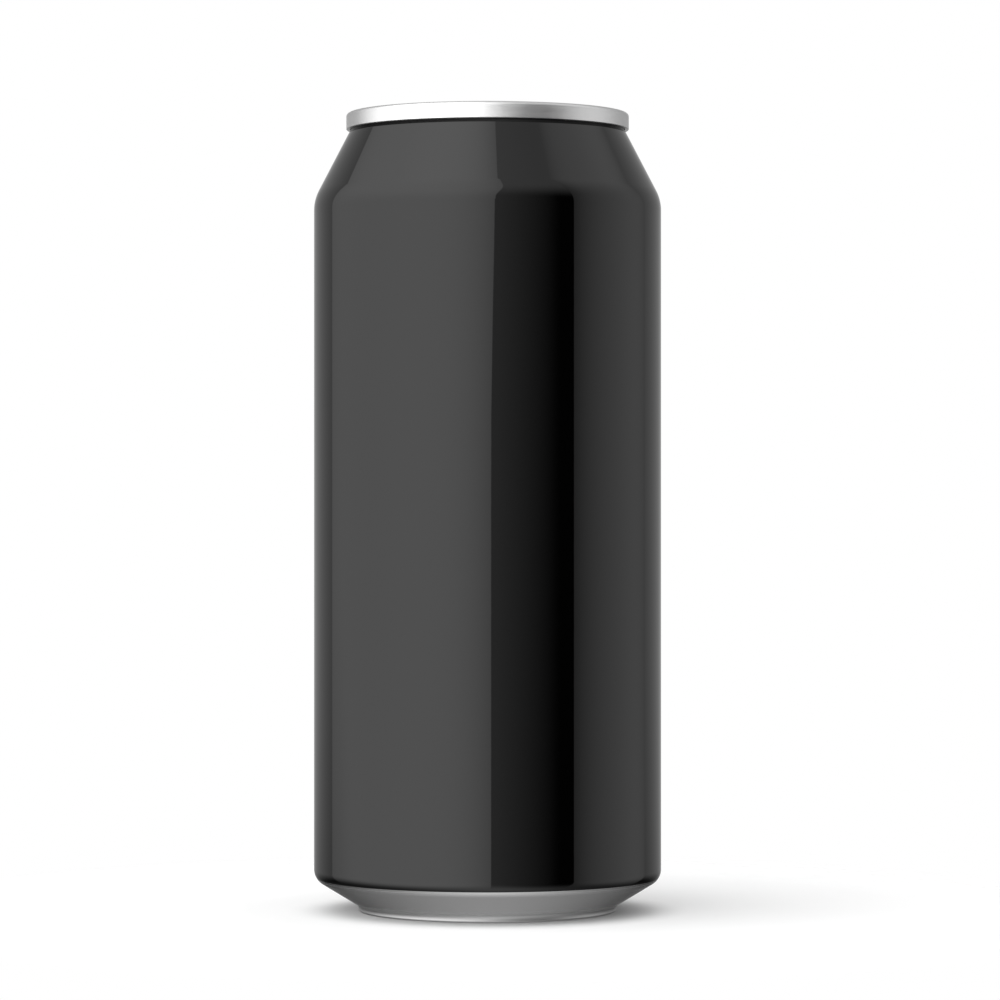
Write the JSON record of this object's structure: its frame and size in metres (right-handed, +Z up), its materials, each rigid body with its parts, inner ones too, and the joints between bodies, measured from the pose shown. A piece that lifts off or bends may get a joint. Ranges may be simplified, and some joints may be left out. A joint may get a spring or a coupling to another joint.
{
  "type": "drink can",
  "caption": "Tall shut aluminium drink can with a necked-in shoulder, a double-seamed end with a stay-on tab, and a domed base; plain gloss black wall.",
  "frame": {"origin": "on the can's axis, in the plane that the foot stands on", "axes": "+Z up along the can's axis; -Y is the drinking side, where the tear panel is, and the tab's heel points to +Y; +X is to the right when looking along +Y"},
  "size_m": [0.0662, 0.0662, 0.152],
  "materials": {
    "black_lacquer": "gloss black lacquer over ironed aluminium; the chine, foot and domed base are bare",
    "bare_aluminium": "bare rolled sheet, satin bright"
  },
  "bodies": {
    "root": {"can_body": "black_lacquer", "can_end": "bare_aluminium", "pull_tab": "bare_aluminium"}
  },
  "joints": []
}
